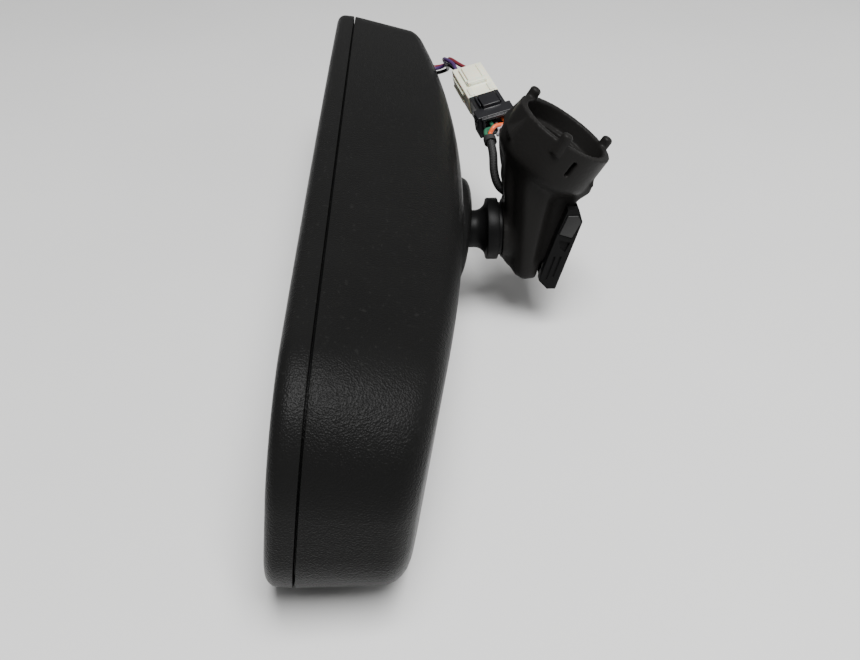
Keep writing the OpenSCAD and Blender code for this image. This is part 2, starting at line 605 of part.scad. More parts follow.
tube_sides = 8;
module tube(p, r) {
    c = route(p);
    n = len(c);
    along = [for (i = [0 : n - 1]) unit(c[min(i + 1, n - 1)] - c[max(i - 1, 0)])];
    side = [for (t = along) unit(cross(t, [0, 0, 1]))];
    points = [for (i = [0 : n - 1], k = [0 : tube_sides - 1]) let (a = 360 * k / tube_sides)
        c[i] + r * (cos(a) * side[i] + sin(a) * cross(side[i], along[i]))];
    polyhedron(points, concat([[for (k = [0 : tube_sides - 1]) k]],
        [[for (k = [tube_sides - 1 : -1 : 0]) (n - 1) * tube_sides + k]],
        [for (i = [0 : n - 2], k = [0 : tube_sides - 1], h = [0, 1])
            let (a = i * tube_sides + k, b = i * tube_sides + (k + 1) % tube_sides)
            h == 0 ? [a, a + tube_sides, b] : [b, a + tube_sides, b + tube_sides]]), 4);
}
// Straight hole that follows the first stretch of a route
module sleeve_hole(p) translate(p[0]) aimed(unit(p[1] - p[0])) translate([0, 0, -0.5])
    cylinder(r = sleeve_hole_r, h = 16);
// Turns +Z to the direction d
module aimed(d) rotate([0, acos(d.z), atan2(d.y, d.x)]) children();

module lead_wire_purple() color([0.35, 0.2, 0.5]) tube(lead_route(-lead_pitch, 0.6 * lead_pitch), wire_r);
module lead_wire_red() color([0.55, 0.08, 0.08]) tube(lead_route(lead_pitch, 0.6 * lead_pitch), wire_r);
module lead_wire_black() color([0.06, 0.06, 0.06]) tube(lead_route(0.3 * lead_pitch, -1.75 * lead_pitch), wire_r);
module sleeve_long() color([0.07, 0.07, 0.07]) tube(sleeve_long_route, sleeve_r);
module sleeve_short() color([0.07, 0.07, 0.07]) tube(sleeve_short_route, sleeve_r);
module loom_wire_white() color([0.9, 0.9, 0.9])
    tube(loom_route(0, -1.2, [-26.2, -17.4, -13.8], sleeve_short_route, 0), wire_r);
module loom_wire_orange() color([0.9, 0.3, 0.1])
    tube(loom_route(wire_gap, 0.6, [-25, -18.6, -10.2], sleeve_long_route, 1), wire_r);
module loom_wire_green() color([0.1, 0.45, 0.25])
    tube(loom_route(-wire_gap, 0.6, [-25.6, -21.4, -11.8], sleeve_long_route, -1), wire_r);

module sleeve_tape() color([0.05, 0.05, 0.05]) translate(tip(sleeve_long_route) - 2.6 * tip_way(sleeve_long_route))
    aimed(tip_way(sleeve_long_route)) difference() {
        cylinder(r = sleeve_r + 0.7, h = 2);
        translate([0, 0, -1]) cylinder(r = sleeve_r + 0.2, h = 4);
    }

module lead_grommet() in_head() color([0.05, 0.05, 0.05]) translate([grommet_x, 0, grommet_z]) difference() {
    union() {
        translate([0, back_y(grommet_x) - wall - 3.4, 0]) bar_y(grommet_r + 1.4, 1.4 - fit_gap);
        translate([0, back_y(grommet_x) - wall - 2.2, 0]) bar_y(grommet_r - fit_gap, wall + 2.8);
    }
    translate([0, back_y(grommet_x) - wall - 6, 0]) bar_y(grommet_r - 0.85, wall + 12);
}
module inner_lead() in_head() color([0.2, 0.1, 0.25]) tube([[grommet_x, back_y(grommet_x) - wall - 5, grommet_z],
    [-89, 25.5, 13], [-78, 24, 2], [-64, 23.5, -9], [-50, 23.8, -15.5], [header_x - 3, 23.4, header_z],
    [header_x, 20.8, header_z], [header_x, chip_y + 3, header_z]], 1.4);

module in_pale() translate(pale_at) rotate(plug_turn) children();
module in_dark() in_pale() translate([(pale_l + dark_l) / 2, 0, 0]) children();
// A block centred in Y and Z, from x0 to x1
module block(x0, x1, w, h) translate([x0, -w / 2, -h / 2]) cube([x1 - x0, w, h]);

module pale_connector() in_pale() color([0.88, 0.86, 0.78]) difference() {
    union() {
        block(-pale_l / 2, pale_l / 2, pale_w, pale_h);
        translate([0, 0, pale_h / 2]) block(2 - pale_l / 2, pale_l / 2 - 6, 5.2, 2.4);
    }
    block(-pale_l / 2 - 1, 6 - pale_l / 2, pale_w - 2.6, pale_h - 2.6);
    block(pale_l / 2 - 3, pale_l / 2 + 2, pale_w - 4, pale_h - 3.2);
}
module dark_connector() in_dark() color([0.06, 0.06, 0.065]) difference() {
    union() {
        block(-dark_l / 2, dark_l / 2, dark_w - 2.6, dark_h - 0.8);
        block(dark_l / 2 - 6, dark_l / 2 - 0.8, dark_w, dark_h);
        block(-dark_l / 2 - nose_l, overlap - dark_l / 2, pale_w - 4.4, pale_h - 3.6);
        translate([0, 0, dark_h / 2]) block(3 - dark_l / 2, dark_l / 2 - 5, 6, 3);
    }
    block(dark_l / 2 - 4, dark_l / 2 + 2, dark_w - 4.4, dark_h - 2.8);
    for (y = [-wire_gap, 0, wire_gap]) translate([0, y, 0]) block(-dark_l / 2 - nose_l - 1, dark_l / 2 - 3, 1.2, 1.2);
}
module terminal_pins() in_dark() color([0.8, 0.65, 0.3]) for (y = [-wire_gap, 0, wire_gap])
    translate([0, y, 0]) block(-dark_l / 2 - nose_l + 0.6, 1 - dark_l / 2 + nose_l, 0.8, 0.8);

bezel();
front_glass();
rear_glass();
glass_seal();
foam_pad();
carrier_plate();
circuit_board();
board_chips();
board_header();
board_screws();
glare_sensor();
ambient_lens();
rear_housing();
socket_plate();
pressure_cap();
wave_spring();
spring_housing();
socket_screws();
lead_grommet();
inner_lead();
liner_rear();
liner_front();
ball_stud();
stud_washer();
stud_nut();
mount_bracket();
seat_spring();
foot_cover();
cover_clips();
foot_screws();
pale_connector();
dark_connector();
terminal_pins();
lead_wire_purple();
lead_wire_red();
lead_wire_black();
sleeve_long();
sleeve_short();
sleeve_tape();
loom_wire_white();
loom_wire_orange();
loom_wire_green();
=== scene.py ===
import math

import bmesh
import bpy
from mathutils import Matrix, Vector


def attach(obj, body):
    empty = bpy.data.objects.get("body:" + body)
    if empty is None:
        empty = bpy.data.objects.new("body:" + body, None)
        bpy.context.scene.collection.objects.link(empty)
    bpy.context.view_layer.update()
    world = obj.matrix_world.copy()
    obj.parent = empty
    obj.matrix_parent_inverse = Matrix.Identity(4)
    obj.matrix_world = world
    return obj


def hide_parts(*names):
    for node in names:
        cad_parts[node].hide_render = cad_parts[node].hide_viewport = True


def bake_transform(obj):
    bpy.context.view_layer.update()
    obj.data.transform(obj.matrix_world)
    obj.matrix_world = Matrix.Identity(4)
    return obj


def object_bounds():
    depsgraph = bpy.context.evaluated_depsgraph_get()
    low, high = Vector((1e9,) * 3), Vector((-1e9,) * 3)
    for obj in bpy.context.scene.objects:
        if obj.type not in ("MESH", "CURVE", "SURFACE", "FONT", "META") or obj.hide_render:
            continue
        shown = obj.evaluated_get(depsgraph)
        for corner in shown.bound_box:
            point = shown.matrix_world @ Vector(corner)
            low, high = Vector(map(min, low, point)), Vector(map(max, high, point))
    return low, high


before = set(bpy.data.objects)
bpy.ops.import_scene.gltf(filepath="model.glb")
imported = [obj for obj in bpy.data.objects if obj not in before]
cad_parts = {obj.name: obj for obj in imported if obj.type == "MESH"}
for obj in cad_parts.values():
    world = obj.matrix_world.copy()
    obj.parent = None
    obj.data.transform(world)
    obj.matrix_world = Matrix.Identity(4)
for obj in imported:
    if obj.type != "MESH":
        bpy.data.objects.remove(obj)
cad_box = [list(corner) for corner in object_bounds()]


# ---- Studio: the pale table, the camera and the lights ----
# The mirror lies on a pale, slightly soft table top, as it came off the car.
# One large lamp hangs overhead and a weaker one stands behind the bracket.

MM = 0.001


class Level:
    """A number that varies over a surface, for use in sums."""

    def __init__(self, finish, socket):
        self.finish = finish
        self.socket = socket

    def _sum(self, operation, first, second):
        return self.finish.add("ShaderNodeMath", {"operation": operation}, {0: first, 1: second})

    def __add__(self, other):
        return self._sum("ADD", self, other)

    __radd__ = __add__

    def __sub__(self, other):
        return self._sum("SUBTRACT", self, other)

    def __rsub__(self, other):
        return self._sum("SUBTRACT", other, self)

    def __mul__(self, other):
        return self._sum("MULTIPLY", self, other)

    __rmul__ = __mul__


class Finish:
    """A surface finish: one material and the nodes that vary it."""

    def __init__(self, name, color, roughness, slot="moulded_black", **uniform):
        self.slot = slot
        self.color = (*color, 1)
        self.roughness = roughness
        self.material = bpy.data.materials.new(name)
        self.material.use_nodes = True
        self.nodes = self.material.node_tree.nodes
        self.shader = self.nodes["Principled BSDF"]
        self.shader.inputs["Base Color"].default_value = self.color
        self.shader.inputs["Roughness"].default_value = roughness
        for socket, value in uniform.items():
            self.shader.inputs[socket.replace("_", " ").title().replace("Ior", "IOR")].default_value = value
        self.place = self.add("ShaderNodeTexCoord", output="Object")

    def add(self, kind, settings=None, sockets=None, output=0):
        """Adds a node, gives it its settings and then its sockets, and returns one output."""
        node = self.nodes.new(kind)
        for key, value in (settings or {}).items():
            setattr(node, key, value)
        for key, value in (sockets or {}).items():
            self.give(node.inputs[key], value)
        return Level(self, node.outputs[output])

    def give(self, socket, value):
        """Links a level to a socket, or sets the socket to a plain value."""
        if isinstance(value, Level):
            self.material.node_tree.links.new(value.socket, socket)
        else:
            socket.default_value = value

    def noise(self, size, detail=2.0):
        """Soft noise whose blotches are about size across, in metres, from 0 to 1."""
        return self.add("ShaderNodeTexNoise", {}, {"Vector": self.place, "Scale": 1 / size, "Detail": detail})

    def mask(self, level, low, high):
        """0 below low, 1 above high."""
        return self.add("ShaderNodeMapRange", {"clamp": True},
                        {"Value": level, "From Min": low, "From Max": high})

    def blend_color(self, factor, first, second):
        """The first colour where factor is 0, the second where it is 1."""
        return self.add("ShaderNodeMix", {"data_type": "RGBA"}, {0: factor, 6: first, 7: second}, output=2)

    def facing_up(self):
        """The upward part of the surface's own direction."""
        normal = self.add("ShaderNodeTexCoord", output="Normal")
        return self.add("ShaderNodeSeparateXYZ", {}, {"Vector": normal}, output="Z")

    def relief(self, height, depth):
        """Bump of the given depth in metres."""
        bump = self.add("ShaderNodeBump", {}, {"Height": height, "Distance": depth, "Strength": 1.0})
        self.give(self.shader.inputs["Normal"], bump)

    def vary(self, color=None, roughness=None):
        """Drives the colour and the roughness with levels."""
        if color is not None:
            self.give(self.shader.inputs["Base Color"], color)
        if roughness is not None:
            self.give(self.shader.inputs["Roughness"], roughness)


def piece(name, shape, finish, body, nodes=(), place=Matrix(), crease=35.0, outward=True):
    """Makes the finished object of a bmesh drawn in millimetres, riding on one CAD body."""
    if outward:
        bmesh.ops.recalc_face_normals(shape, faces=shape.faces)
    shape.transform(place @ Matrix.Scale(MM, 4))
    mesh = bpy.data.meshes.new(name)
    shape.to_mesh(mesh)
    shape.free()
    mesh.materials.append(finish.material)
    mesh.shade_smooth()
    mesh.set_sharp_from_angle(angle=math.radians(crease))
    made = bpy.data.objects.new(name, mesh)
    bpy.context.collection.objects.link(made)
    if body:
        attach(made, body)
    if nodes:
        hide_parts(*nodes)
    return made


table_finish = Finish("table", (0.66, 0.66, 0.655), 0.55)
blotches = table_finish.noise(0.09, 4.0)
table_finish.vary(
    color=table_finish.blend_color(blotches, (0.645, 0.645, 0.64, 1), (0.68, 0.68, 0.675, 1)),
    roughness=0.5 + 0.12 * blotches)
table_finish.relief(table_finish.noise(0.0012), 0.00002)
floor_z = cad_box[0][2]
shape = bmesh.new()
bmesh.ops.create_grid(shape, x_segments=1, y_segments=1, size=3000)
table_place = Matrix.Translation((0, 0, floor_z))
piece("table_top", shape, table_finish, None, place=table_place, outward=False)

tilt, pan = math.radians(37.27), math.radians(1.72)
forward = Vector((-math.cos(tilt) * math.cos(pan), math.cos(tilt) * math.sin(pan), -math.sin(tilt)))
right = forward.cross(Vector((0, 0, 1))).normalized()
up = right.cross(forward)
camera_data = bpy.data.cameras.new("camera")
camera_data.sensor_width = 36
camera_data.lens = 35.58
camera = bpy.data.objects.new("camera", camera_data)
bpy.context.collection.objects.link(camera)
turn = Matrix((right, up, -forward)).transposed().to_4x4()
camera.matrix_world = Matrix.Translation((0.2386, -0.0481, floor_z + 0.1723)) @ turn
bpy.context.scene.camera = camera


def softbox(name, place, width, height, watts):
    """An area lamp, in metres and watts, that points at the seat."""
    data = bpy.data.lights.new(name, "AREA")
    data.shape = "RECTANGLE"
    data.size, data.size_y, data.energy = width, height, watts
    lamp = bpy.data.objects.new(name, data)
    lamp.location = place
    lamp.rotation_euler = (-Vector(place)).to_track_quat("-Z", "Y").to_euler()
    bpy.context.collection.objects.link(lamp)


softbox("ceiling_light", (0.4, 0.1, 1.07), 0.5, 0.7, 31)
softbox("window_light", (0.1, 1.1, 0.5), 0.9, 0.7, 3.6)
world = bpy.data.worlds.new("room")
world.use_nodes = True
background = world.node_tree.nodes["Background"]
background.inputs["Color"].default_value = (0.9, 0.9, 0.9, 1)
background.inputs["Strength"].default_value = 0.24
bpy.context.scene.world = world


# ---- Rear housing ----
# One injection-moulded shell of black ABS with a fine pebbled grain, and a raised
# ring moulded around the ball joint's opening.  The bezel clips into its open front.

HEAD_W, HEAD_H, HEAD_D, END_D = 255.0, 70.0, 44.0, 31.5
CORNER_R, CROWN_R, REAR_R, WALL = 26.0, 2400.0, 7.0, 2.2
BEZEL_D, PARTING_Y = 6.5, 6.9
END_DRAFT, SIDE_DRAFT = math.tan(math.radians(2.5)), math.tan(math.radians(7.5))
HEAD_LEAN = 7.5
BALL_Y, BALL_UP = 38.2, 1.0
BALL_BACK, BALL_DROP = 40.5, 34.4
RING_R, RING_H, OPENING_R = 17.6, 5.2, 11.2
CORNER_X = HEAD_W / 2 - CORNER_R
CROWN_Z = HEAD_H / 2 - CROWN_R
CORNER_Z = CROWN_Z + math.sqrt((CROWN_R - CORNER_R) ** 2 - CORNER_X**2)
ball_place = Matrix.Translation((0, -BALL_BACK * MM, -BALL_DROP * MM))
head_place = (ball_place @ Matrix.Rotation(math.radians(-HEAD_LEAN), 4, "X")
              @ Matrix.Translation((0, -BALL_Y * MM, -BALL_UP * MM)))


def back_y(x):
    """Depth of the housing's back at x."""
    return END_D + (HEAD_D - END_D) * (1 - (2 * x / HEAD_W) ** 2)


def outline_h(x):
    """Half the head's height at x."""
    side = abs(x) - CORNER_X
    if side > 0:
        return CORNER_Z + math.sqrt(max(CORNER_R**2 - side**2, 0))
    return CROWN_Z + math.sqrt(CROWN_R**2 - x * x)


def skin(x, z, rise_share, angle, inset=0.0):
    """The housing's outside over a place x, z of the head's outline."""
    rise = rise_share * (back_y(x) - REAR_R - PARTING_Y)
    pulled = REAR_R * (1 - math.cos(angle)) + inset
    return Vector((x * (1 - (END_DRAFT * rise + pulled) / (HEAD_W / 2)),
                   PARTING_Y + rise + REAR_R * math.sin(angle),
                   z * (1 - (SIDE_DRAFT * rise + pulled) / (HEAD_H / 2))))


def pebbled(name, color, roughness, grain, depth, shade=1.25, dust=0.25, slot="moulded_black",
            sheen=0.045):
    """Moulded plastic: pebble grain, soft sheen changes and a little dust on top."""
    look = Finish(name, color, roughness, slot, specular_ior_level=sheen)
    pebbles = look.add("ShaderNodeTexVoronoi", {"feature": "SMOOTH_F1"},
                       {"Vector": look.place, "Scale": 1 / grain}, output="Distance")
    flow = look.noise(0.022, 3.0)
    fine = look.noise(grain * 0.6, 2.0)
    body = look.blend_color(flow, look.color, tuple(shade * c for c in color) + (1,))
    specks = look.mask(look.noise(0.0011, 1.0), 0.66, 0.74)
    settled = look.mask(look.facing_up(), 0.3, 1.0) * (0.2 * dust * specks + 0.06 * dust * flow)
    look.vary(color=look.blend_color(settled, body, (0.11, 0.11, 0.105, 1)),
              roughness=roughness - 0.06 + 0.16 * flow - 0.08 * pebbles)
    look.relief(pebbles + 0.5 * fine, depth)
    return look


housing_black = pebbled("moulded_black", (0.0058, 0.0058, 0.0057), 0.33, 0.00038, 0.00013)

columns, rows = 92, 34
shape = bmesh.new()
bmesh.ops.create_grid(shape, x_segments=columns, y_segments=rows, size=1)
where = shape.verts.layers.float_vector.new("where")
for vert in shape.verts:
    across = vert.co.x * (CORNER_X + CORNER_R * math.pi / 2)
    if abs(across) > CORNER_X:
        bend = (abs(across) - CORNER_X) / CORNER_R
        x = math.copysign(CORNER_X + CORNER_R * math.sin(bend), across)
    else:
        x = across
    vert[where] = (x, 0, vert.co.y * outline_h(x))
    vert.co = skin(x, vert[where].z, 1, math.pi / 2)
rim = [edge for edge in shape.edges if edge.is_boundary]

# The round opening: its edge is drawn out into the raised ring
foot_ring = RING_R + 1.6


def from_opening(face):
    """Distance of a face's middle from the opening's axis."""
    middle = face.calc_center_median()
    return math.hypot(middle.x, middle.z - BALL_UP)


outer = set(rim)
covered = [face for face in shape.faces if from_opening(face) < foot_ring - 0.4]
bmesh.ops.delete(shape, geom=covered, context="FACES")
lip = [edge for edge in shape.edges if edge.is_boundary and edge not in outer]
narrow = 1 - (END_DRAFT * (HEAD_D - REAR_R - PARTING_Y) + REAR_R) / (HEAD_W / 2)


def ring_loop(edges, radius, height):
    """Puts a loop of edges on a circle around the opening, height above the housing's back."""
    for vert in {v for edge in edges for v in edge.verts}:
        way = Vector((vert.co.x, 0, vert.co.z - BALL_UP)).normalized()
        level = back_y(radius * way.x / narrow) if height < 1 else HEAD_D
        vert.co = Vector((radius * way.x, level + height, BALL_UP + radius * way.z))


def drawn_out(edges):
    """Draws a loop of edges out into a new strip and returns the strip's free edges."""
    drawn = bmesh.ops.extrude_edge_only(shape, edges=edges)["geom"]
    return [item for item in drawn if isinstance(item, bmesh.types.BMEdge) and item.is_boundary]


ring_loop(lip, foot_ring, 0)
ring_profile = [(RING_R + 0.9, 0.08), (RING_R + 0.4, 0.3), (RING_R + 0.12, 0.8), (RING_R, 1.4),
                (RING_R - 0.15, 2.5), (RING_R - 0.55, 3.35), (RING_R - 1.15, 3.95), (RING_R - 2.1, 4.5),
                (RING_R - 3.2, 4.9), (RING_R - 4.4, RING_H), (OPENING_R + 1.0, RING_H),
                (OPENING_R + 0.35, RING_H - 0.15), (OPENING_R, RING_H - 0.6),
                (OPENING_R - 0.2, RING_H - 2.2)]
for radius, height in ring_profile:
    lip = drawn_out(lip)
    ring_loop(lip, radius, height)

# The rear edge's curve and then the drafted walls, drawn out to the parting line
levels = [(1, math.radians(a), 0) for a in (75, 60, 45, 30, 15, 0)]
levels += [(0.66, 0, 0), (0.33, 0, 0), (0.03, 0, 0), (0.006, 0, 0.12), (0.0, 0, 0.45), (0.0, 0, WALL)]
for share, angle, inset in levels:
    rim = drawn_out(rim)
    for vert in {v for edge in rim for v in edge.verts}:
        vert.co = skin(vert[where].x, vert[where].z, share, angle, inset)
bmesh.ops.recalc_face_normals(shape, faces=shape.faces)
bmesh.ops.solidify(shape, geom=shape.faces[:], thickness=WALL * 0.5)
bmesh.ops.recalc_face_normals(shape, faces=shape.faces)


def drilled(shape, x, z, radius):
    """Drills a round hole through the housing's back."""
    cutter = bmesh.new()
    bmesh.ops.create_cone(cutter, cap_ends=True, segments=40, radius1=radius, radius2=radius, depth=16,
                          matrix=Matrix.Translation((x, back_y(x), z)) @ Matrix.Rotation(math.pi / 2, 4, "X"))
    blanks = []
    for name, solid in (("drilled", shape), ("drill", cutter)):
        mesh = bpy.data.meshes.new(name)
        solid.to_mesh(mesh)
        solid.free()
        blanks.append(bpy.data.objects.new(name, mesh))
        bpy.context.collection.objects.link(blanks[-1])
    blank, drill = blanks
    cut = blank.modifiers.new("cut", "BOOLEAN")
    cut.object = drill
    result = bmesh.new()
    result.from_mesh(blank.evaluated_get(bpy.context.evaluated_depsgraph_get()).to_mesh())
    for made in blanks:
        bpy.data.objects.remove(made)
    return result


GROMMET_X, GROMMET_Z, GROMMET_R = -93.0, 20.0, 3.6
LENS_X, LENS_Z, LENS_R = -38.0, 5.0, 3.15
shape = drilled(shape, GROMMET_X, GROMMET_Z, GROMMET_R)
shape = drilled(shape, LENS_X, LENS_Z, LENS_R)
piece("rear_housing_shell", shape, housing_black, "head", ["rear_housing"], head_place, crease=40,
      outward=False)


# ---- Bezel ----
# A thin frame of the same black ABS, a shade smoother.  Its rounded lip holds the glass
# and its tongue clips into the housing behind the open groove at the parting line.

bezel_black = pebbled("bezel_black", (0.0062, 0.0062, 0.0061), 0.33, 0.00038, 0.00011)
arc_parts, crown_parts = 18, 40


def arc_point(x, z, radius, a):
    """A point on the arc of the given centre and radius, at angle a."""
    return x + radius * math.cos(a), z + radius * math.sin(a)


def outline(inset):
    """Points of the head's outline, moved inwards by inset, once around."""
    start = math.atan2(CORNER_Z - CROWN_Z, CORNER_X)
    upper = []
    for i in range(arc_parts):
        a = math.pi - start * i / arc_parts
        upper.append(arc_point(-CORNER_X, CORNER_Z, CORNER_R - inset, a))
    for i in range(crown_parts + 1):
        a = math.pi - start - (math.pi - 2 * start) * i / crown_parts
        upper.append(arc_point(0, CROWN_Z, CROWN_R - inset, a))
    for i in range(arc_parts - 1, -1, -1):
        a = start * i / arc_parts
        upper.append(arc_point(CORNER_X, CORNER_Z, CORNER_R - inset, a))
    return upper + [(x, -z) for x, z in reversed(upper)]


LIP_W, LIP_T = 4.4, 1.3
# Each row is the inset from the outline and the depth behind the front
section = [(0.35, BEZEL_D), (0.08, BEZEL_D - 0.12), (0, BEZEL_D - 0.5), (0, 3.5), (0.07, 2.6), (0.25, 1.95),
           (0.55, 1.4), (1.0, 0.9), (1.55, 0.5), (2.2, 0.22), (2.8, 0.07), (3.4, 0), (3.8, 0.03), (4.1, 0.14),
           (4.32, 0.36), (LIP_W, 0.65), (LIP_W, LIP_T - 0.1), (2.8, LIP_T - 0.1), (2.8, 7.2), (3.8, 7.2),
           (3.8, BEZEL_D + 2.6), (2.9, BEZEL_D + 2.6), (2.9, BEZEL_D)]
shape = bmesh.new()
points = outline(0)
bmesh.ops.create_circle(shape, cap_ends=False, segments=len(points), radius=1)
shape.verts.ensure_lookup_table()
order = shape.verts.layers.int.new("order")
for number, vert in enumerate(shape.verts):
    vert[order] = number
loop = shape.edges[:]
first_loop = loop
for number, (inset, depth) in enumerate(section):
    if number:
        drawn = bmesh.ops.extrude_edge_only(shape, edges=loop)["geom"]
        loop = [item for item in drawn if isinstance(item, bmesh.types.BMEdge)
                and item.verts[0].is_boundary and item.verts[1].is_boundary and item not in first_loop
                and len(item.link_faces) == 1]
    points = outline(inset)
    for vert in {v for edge in loop for v in edge.verts}:
        x, z = points[vert[order]]
        vert.co = (x, depth, z)
bmesh.ops.bridge_loops(shape, edges=first_loop + loop)
piece("bezel_frame", shape, bezel_black, "head", ["bezel"], head_place, crease=50)


# ---- Glass, foam, carrier and electronics ----
# Two glass plates with a gel between them darken against glare.  The front one is clear and
# the rear one is silvered; a seal, a foam pad and a carrier plate with the board sit behind.


def dressed(finish, *nodes):
    """Gives CAD nodes that keep their shape their real finish."""
    for name in nodes:
        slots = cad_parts[name].data.materials
        slots.clear()
        slots.append(finish.material)


clear_glass = Finish("clear_glass", (0.93, 0.96, 0.97), 0.02, "mirror_glass", transmission_weight=1.0,
                     ior=1.5)
clear_glass.vary(roughness=0.01 + 0.03 * clear_glass.mask(clear_glass.noise(0.05, 4.0), 0.5, 0.75))
dressed(clear_glass, "front_glass")
silvering = Finish("silvering", (0.72, 0.75, 0.78), 0.03, "mirror_coat", metallic=1.0)
bands = silvering.noise(0.12, 2.0)
silvering.vary(color=silvering.blend_color(bands, (0.70, 0.73, 0.76, 1), (0.75, 0.78, 0.80, 1)),
               roughness=0.02 + 0.03 * silvering.noise(0.03))
dressed(silvering, "rear_glass")


def mottled(name, color, roughness, size=0.004, depth=0.00003, slot="moulded_black", **uniform):
    """A plain finish with slight changes of tone and sheen and a shallow texture."""
    look = Finish(name, color, roughness, slot, **uniform)
    tone = look.noise(size, 3.0)
    look.vary(color=look.blend_color(tone, look.color, tuple(min(1.25 * c, 1) for c in color) + (1,)),
              roughness=roughness - 0.07 + 0.14 * tone)
    look.relief(look.noise(size / 5, 2.0), depth)
    return look


dressed(mottled("gel_seal", (0.02, 0.02, 0.02), 0.5, slot="seal"), "glass_seal")
dressed(mottled("foam", (0.05, 0.05, 0.055), 0.95, 0.002, 0.0002, "foam"), "foam_pad")
dressed(mottled("carrier_grey", (0.035, 0.035, 0.037), 0.5, slot="carrier"), "carrier_plate")
board_green = mottled("board_green", (0.012, 0.09, 0.035), 0.35, 0.006, 0.00002, "board", coat_weight=0.4)
dressed(board_green, "circuit_board")
dressed(mottled("chip_black", (0.01, 0.01, 0.01), 0.45, slot="chip"), "board_chips")
dressed(mottled("cream_nylon", (0.62, 0.58, 0.45), 0.42, slot="cream"), "board_header")
steel = mottled("zinc_plated_steel", (0.55, 0.55, 0.56), 0.3, 0.003, 0.00002, "steel", metallic=1.0)
dressed(steel, "board_screws", "socket_screws", "wave_spring")
blued = mottled("blued_spring_steel", (0.05, 0.05, 0.052), 0.38, 0.004, 0.00002, "steel", metallic=1.0)
dressed(blued, "seat_spring", "foot_screws")
dressed(mottled("sensor_dark", (0.02, 0.018, 0.03), 0.12, slot="sensor", coat_weight=1.0), "glare_sensor")
dressed(mottled("smoked_lens", (0.06, 0.065, 0.07), 0.12, slot="lens", coat_weight=1.0), "ambient_lens")
dressed(mottled("coated_zinc", (0.02, 0.02, 0.021), 0.45, slot="zinc"), "socket_plate", "spring_housing")
dressed(mottled("black_acetal", (0.012, 0.012, 0.012), 0.4, slot="carrier"), "pressure_cap")
dressed(mottled("grey_nylon", (0.035, 0.035, 0.034), 0.4, slot="nylon"), "liner_rear", "liner_front")
rubber = mottled("soft_rubber", (0.01, 0.01, 0.01), 0.75, slot="wire_black")
dressed(rubber, "lead_grommet")
dressed(mottled("inner_jacket", (0.05, 0.02, 0.07), 0.5, slot="wire_purple"), "inner_lead")


# ---- Ball stud ----
# Turned and blackened steel: the ball sits in the head, the slim neck flares out into a
# collar, and the washer behind the collar clamps against the bracket's boss.

BALL_R, THROAT_R, NECK_R, NECK_L = 8.0, 4.5, 6.0, 17.8
COLLAR_R, COLLAR_T = 9.9, 3.4
SHANK_R, SHANK_END = 4.0, 32.4
WASHER_R, WASHER_T = 8.5, 1.2


def spun(profile, steps=72):
    """Spins a profile of (radius, distance) once around the Y axis."""
    shape = bmesh.new()
    verts = [shape.verts.new((radius, distance, 0)) for radius, distance in profile]
    edges = [shape.edges.new(pair) for pair in zip(verts, verts[1:])]
    bmesh.ops.spin(shape, geom=verts + edges, cent=(0, 0, 0), axis=(0, 1, 0), angle=2 * math.pi,
                   steps=steps, use_merge=True)
    bmesh.ops.remove_doubles(shape, verts=shape.verts, dist=0.001)
    return shape


throat = math.asin(THROAT_R / BALL_R)
profile = [(BALL_R * math.sin(a), BALL_R * math.cos(a))
           for a in (math.pi - (math.pi - throat) * i / 30 for i in range(31))]
profile += [(THROAT_R, BALL_R - 0.9), (4.7, BALL_R + 0.2), (5.2, BALL_R + 1.3), (5.7, BALL_R + 2.1),
            (NECK_R, BALL_R + 3)]
flare = COLLAR_R - NECK_R - 0.25
profile += [(NECK_R + flare * (1 - math.cos(a)), NECK_L - 0.35 - flare + flare * math.sin(a))
            for a in (math.radians(7.5 * i) for i in range(12))]
profile += [(COLLAR_R - 0.28, NECK_L - 0.3), (COLLAR_R - 0.08, NECK_L - 0.08), (COLLAR_R, NECK_L + 0.25),
            (COLLAR_R, NECK_L + COLLAR_T - 0.35), (COLLAR_R - 0.1, NECK_L + COLLAR_T - 0.1),
            (COLLAR_R - 0.35, NECK_L + COLLAR_T), (SHANK_R, NECK_L + COLLAR_T), (SHANK_R, SHANK_END - 0.5),
            (SHANK_R - 0.5, SHANK_END), (0, SHANK_END)]
stud_black = mottled("blackened_steel", (0.0035, 0.0035, 0.0036), 0.42, 0.006, 0.00002, "stud_black",
                     specular_ior_level=0.08)
piece("ball_stud_turned", spun(profile), stud_black, "bracket", ["ball_stud"], ball_place, crease=28)
washer = [(SHANK_R + 0.05, 0), (WASHER_R - 0.3, 0), (WASHER_R - 0.05, 0.12), (WASHER_R, 0.35),
          (WASHER_R, WASHER_T - 0.35), (WASHER_R - 0.05, WASHER_T - 0.12), (WASHER_R - 0.3, WASHER_T),
          (SHANK_R + 0.05, WASHER_T), (SHANK_R + 0.05, 0)]
piece("stud_washer_ring", spun([(r, y + NECK_L + COLLAR_T) for r, y in washer]), stud_black, "bracket",
      ["stud_washer"], ball_place, crease=28)
dressed(blued, "stud_nut")


# ---- Bracket ----
# A die-cast arm with a charcoal coat: the round seat that locks on the windshield's button,
# three posts on its rim, and the web and column that carry the ball stud.


def copied(node):
    """The bmesh, in millimetres, of a CAD node's shape with its loose triangles joined."""
    shape = bmesh.new()
    shape.from_mesh(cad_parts[node].data)
    shape.transform(Matrix.Scale(1 / MM, 4))
    bmesh.ops.remove_doubles(shape, verts=shape.verts, dist=0.002)
    bmesh.ops.dissolve_limit(shape, angle_limit=math.radians(1.0), verts=shape.verts, edges=shape.edges)
    return shape


